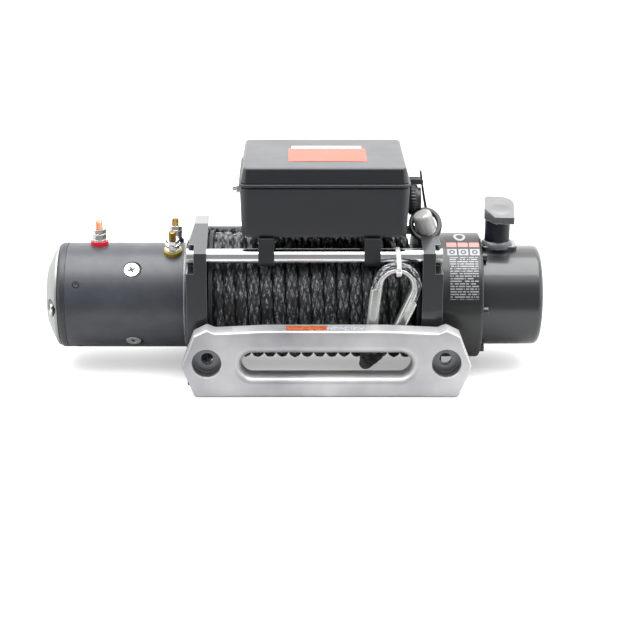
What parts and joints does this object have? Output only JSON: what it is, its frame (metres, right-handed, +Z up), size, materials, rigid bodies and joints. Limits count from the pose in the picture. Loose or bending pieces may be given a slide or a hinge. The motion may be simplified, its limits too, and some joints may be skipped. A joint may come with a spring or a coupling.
{
  "type": "electric recovery winch",
  "caption": "Electric recovery winch with drum of synthetic rope, three-stage planetary gearbox, control box, free-spool clutch knob, rope eye with thimble and a hawse fairlead.",
  "frame": {"origin": "centre of the four foot bolts, on the plane that the feet stand on", "axes": "+X along the drum from the motor to the gearbox, +Y to the back away from the fairlead, +Z up"},
  "size_m": [0.541, 0.1983, 0.238],
  "materials": {
    "black_casting": "satin black powder coat",
    "black_motor_paint": "satin black paint",
    "pale_end_cap": "fine cast, lightly brushed",
    "chrome_bar": "polished chrome",
    "zinc_steel": "bright zinc plate",
    "black_screw": "black oxide",
    "bronze": "sintered bronze",
    "bare_iron": "dull iron",
    "copper": "enamelled copper",
    "brush_holder": "moulded brown resin",
    "gear_steel": "machined steel",
    "red_insulator": "glossy moulding",
    "yellow_insulator": "glossy moulding",
    "black_insulator": "satin moulding",
    "brass_stud": "machined brass",
    "clutch_metal": "blue black anodised",
    "knob_casting": "satin black paint",
    "box_plastic": "fine moulded texture",
    "cap_rubber": "soft black rubber",
    "rope": "braided synthetic fibre",
    "thimble_steel": "polished stainless steel",
    "tie_nylon": "natural nylon",
    "fairlead_aluminium": "satin machined aluminium"
  },
  "bodies": {
    "frame": {"motor_support": "black_casting", "gearbox_support": "black_casting", "foot_nuts": "zinc_steel", "front_tie_bar": "chrome_bar", "rear_tie_bar": "chrome_bar", "tie_bar_bolts": "zinc_steel", "drum_bushes": "bronze", "motor_can": "black_motor_paint", "motor_end_ring": "black_motor_paint", "motor_end_cap": "pale_end_cap", "motor_screws": "zinc_steel", "pole_shoes": "bare_iron", "field_coils": "copper", "brush_gear": "brush_holder", "shaft_bearings": "gear_steel", "red_terminal_base": "red_insulator", "yellow_terminal_base": "yellow_insulator", "black_terminal_base": "black_insulator", "terminal_studs": "brass_stud", "terminal_nuts": "zinc_steel", "gear_housing": "black_casting", "end_housing": "black_casting", "ring_gear_1": "gear_steel", "ring_gear_2": "gear_steel", "ring_gear_3": "gear_steel", "housing_screws": "black_screw", "clutch_base": "black_casting", "box_base": "box_plastic", "box_lid": "box_plastic", "left_box_bracket": "black_casting", "right_box_bracket": "black_casting", "box_screws": "zinc_steel", "contactor": "black_insulator", "remote_socket": "black_insulator", "thimble": "thimble_steel", "rope_eye": "rope", "rope_splice": "rope", "rope_tail": "rope", "cable_tie": "tie_nylon", "fairlead": "fairlead_aluminium"},
    "drum": {"drum": "black_casting", "rope_core": "rope", "rope_winding": "rope", "carrier_3": "gear_steel"},
    "carrier_2": {"carrier_2": "gear_steel"},
    "carrier_1": {"carrier_1": "gear_steel"},
    "shaft": {"drive_shaft": "gear_steel", "armature": "bare_iron"},
    "clutch_stem": {"clutch_stem": "clutch_metal"},
    "clutch_knob": {"clutch_knob": "knob_casting"},
    "socket_cap": {"socket_cap": "cap_rubber"},
    "planet_3a": {"planet_3a": "gear_steel"},
    "planet_3b": {"planet_3b": "gear_steel"},
    "planet_3c": {"planet_3c": "gear_steel"},
    "planet_2a": {"planet_2a": "gear_steel"},
    "planet_2b": {"planet_2b": "gear_steel"},
    "planet_2c": {"planet_2c": "gear_steel"},
    "planet_1a": {"planet_1a": "gear_steel"},
    "planet_1b": {"planet_1b": "gear_steel"},
    "planet_1c": {"planet_1c": "gear_steel"}
  },
  "joints": [
    {"name": "drum_spin", "type": "hinge", "parent": "frame", "child": "drum", "pos_m": [0, 0, 0.078], "axis": [1, 0, 0], "continuous": true},
    {"name": "carrier_2_spin", "type": "hinge", "parent": "frame", "child": "carrier_2", "pos_m": [0.185, 0, 0.078], "axis": [1, 0, 0], "continuous": true},
    {"name": "carrier_1_spin", "type": "hinge", "parent": "frame", "child": "carrier_1", "pos_m": [0.212, 0, 0.078], "axis": [1, 0, 0], "continuous": true},
    {"name": "shaft_spin", "type": "hinge", "parent": "frame", "child": "shaft", "pos_m": [0, 0, 0.078], "axis": [1, 0, 0], "continuous": true},
    {"name": "clutch_lift", "type": "slide", "parent": "frame", "child": "clutch_stem", "axis": [0, 0, 1], "range_m": [0, 0.006]},
    {"name": "clutch_turn", "type": "hinge", "parent": "clutch_stem", "child": "clutch_knob", "pos_m": [0.202, 0, 0.16], "axis": [0, 0, 1], "range_deg": [0, 90]},
    {"name": "socket_cap_hinge", "type": "hinge", "parent": "frame", "child": "socket_cap", "pos_m": [0.115, -0.012, 0.211], "axis": [0, -1, 0], "range_deg": [0, 60]},
    {"name": "planet_3a_spin", "type": "hinge", "parent": "drum", "child": "planet_3a", "pos_m": [0.1545, 0, 0.04387], "axis": [1, 0, 0], "continuous": true},
    {"name": "planet_3b_spin", "type": "hinge", "parent": "drum", "child": "planet_3b", "pos_m": [0.1545, 0.02955, 0.09506], "axis": [1, 0, 0], "continuous": true},
    {"name": "planet_3c_spin", "type": "hinge", "parent": "drum", "child": "planet_3c", "pos_m": [0.1545, -0.02955, 0.09506], "axis": [1, 0, 0], "continuous": true},
    {"name": "planet_2a_spin", "type": "hinge", "parent": "carrier_2", "child": "planet_2a", "pos_m": [0.1985, 0, 0.0507], "axis": [1, 0, 0], "continuous": true},
    {"name": "planet_2b_spin", "type": "hinge", "parent": "carrier_2", "child": "planet_2b", "pos_m": [0.1985, 0.02364, 0.09165], "axis": [1, 0, 0], "continuous": true},
    {"name": "planet_2c_spin", "type": "hinge", "parent": "carrier_2", "child": "planet_2c", "pos_m": [0.1985, -0.02364, 0.09165], "axis": [1, 0, 0], "continuous": true},
    {"name": "planet_1a_spin", "type": "hinge", "parent": "carrier_1", "child": "planet_1a", "pos_m": [0.2255, 0, 0.0507], "axis": [1, 0, 0], "continuous": true},
    {"name": "planet_1b_spin", "type": "hinge", "parent": "carrier_1", "child": "planet_1b", "pos_m": [0.2255, 0.02364, 0.09165], "axis": [1, 0, 0], "continuous": true},
    {"name": "planet_1c_spin", "type": "hinge", "parent": "carrier_1", "child": "planet_1c", "pos_m": [0.2255, -0.02364, 0.09165], "axis": [1, 0, 0], "continuous": true}
  ],
  "couplings": [
    {"joint": "carrier_2_spin", "follows": "drum_spin", "ratio": 6.5},
    {"joint": "carrier_1_spin", "follows": "drum_spin", "ratio": 42.25},
    {"joint": "shaft_spin", "follows": "drum_spin", "ratio": 274.62},
    {"joint": "planet_3a_spin", "follows": "drum_spin", "ratio": -2.4444},
    {"joint": "planet_3b_spin", "follows": "drum_spin", "ratio": -2.4444},
    {"joint": "planet_3c_spin", "follows": "drum_spin", "ratio": -2.4444},
    {"joint": "planet_2a_spin", "follows": "drum_spin", "ratio": -15.889},
    {"joint": "planet_2b_spin", "follows": "drum_spin", "ratio": -15.889},
    {"joint": "planet_2c_spin", "follows": "drum_spin", "ratio": -15.889},
    {"joint": "planet_1a_spin", "follows": "drum_spin", "ratio": -103.28},
    {"joint": "planet_1b_spin", "follows": "drum_spin", "ratio": -103.28},
    {"joint": "planet_1c_spin", "follows": "drum_spin", "ratio": -103.28}
  ]
}
